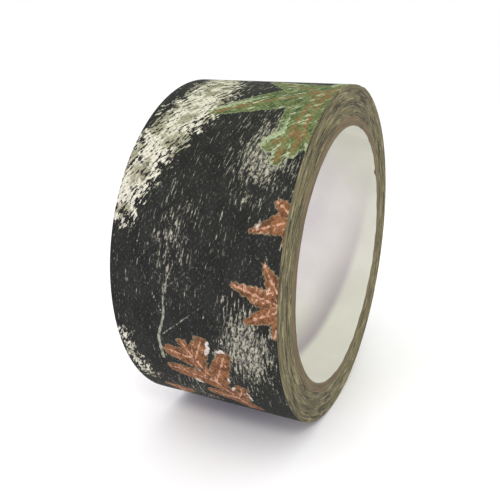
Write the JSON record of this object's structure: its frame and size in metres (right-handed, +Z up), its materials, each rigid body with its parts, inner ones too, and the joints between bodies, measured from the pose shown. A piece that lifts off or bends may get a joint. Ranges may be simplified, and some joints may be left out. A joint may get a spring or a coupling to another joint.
{
  "type": "cloth tape roll",
  "caption": "Roll of printed cloth tape wound on a white-lined paper tube core, with a free end that peels up from the outer turn.",
  "frame": {"origin": "the middle of the core's bore, halfway across the tape's width", "axes": "+Y along the roll's axis, +Z up, as the roll stands on its rim; the cut end of the tape lies near the top, towards +X"},
  "size_m": [0.0999, 0.048, 0.0997],
  "materials": {
    "liner_paper": "smooth white lining paper",
    "core_board": "brown kraft board, cut edge",
    "printed_film": "matt polyethylene film printed with a bark and leaf camouflage",
    "cotton_cloth": "plain woven cotton, olive tan",
    "rubber_adhesive": "soft natural rubber adhesive, slightly glossy"
  },
  "bodies": {
    "roll": {"core_liner": "liner_paper", "core_ply_1": "core_board", "core_ply_2": "core_board", "core_ply_3": "core_board", "core_ply_4": "core_board", "wound_film": "printed_film", "wound_cloth": "cotton_cloth", "wound_adhesive": "rubber_adhesive", "outer_turn_film": "printed_film", "outer_turn_cloth": "cotton_cloth", "outer_turn_adhesive": "rubber_adhesive"},
    "end_1": {"end_film_1": "printed_film", "end_cloth_1": "cotton_cloth", "end_adhesive_1": "rubber_adhesive"},
    "end_2": {"end_film_2": "printed_film", "end_cloth_2": "cotton_cloth", "end_adhesive_2": "rubber_adhesive"},
    "end_3": {"end_film_3": "printed_film", "end_cloth_3": "cotton_cloth", "end_adhesive_3": "rubber_adhesive"},
    "end_4": {"end_film_4": "printed_film", "end_cloth_4": "cotton_cloth", "end_adhesive_4": "rubber_adhesive"}
  },
  "joints": [
    {"name": "peel_root", "type": "hinge", "parent": "roll", "child": "end_1", "pos_m": [0.04495, 0, 0.022], "axis": [0, 1, 0], "range_deg": [0, 50]},
    {"name": "curl_2", "type": "hinge", "parent": "end_1", "child": "end_2", "pos_m": [0.03941, 0, 0.03087], "axis": [0, 1, 0], "range_deg": [0, 25]},
    {"name": "curl_3", "type": "hinge", "parent": "end_2", "child": "end_3", "pos_m": [0.03214, 0, 0.03838], "axis": [0, 1, 0], "range_deg": [0, 25]},
    {"name": "curl_4", "type": "hinge", "parent": "end_3", "child": "end_4", "pos_m": [0.02348, 0, 0.04422], "axis": [0, 1, 0], "range_deg": [0, 25]}
  ],
  "couplings": [
    {"joint": "curl_2", "follows": "peel_root", "ratio": 0.5},
    {"joint": "curl_3", "follows": "peel_root", "ratio": 0.5},
    {"joint": "curl_4", "follows": "peel_root", "ratio": 0.5}
  ]
}
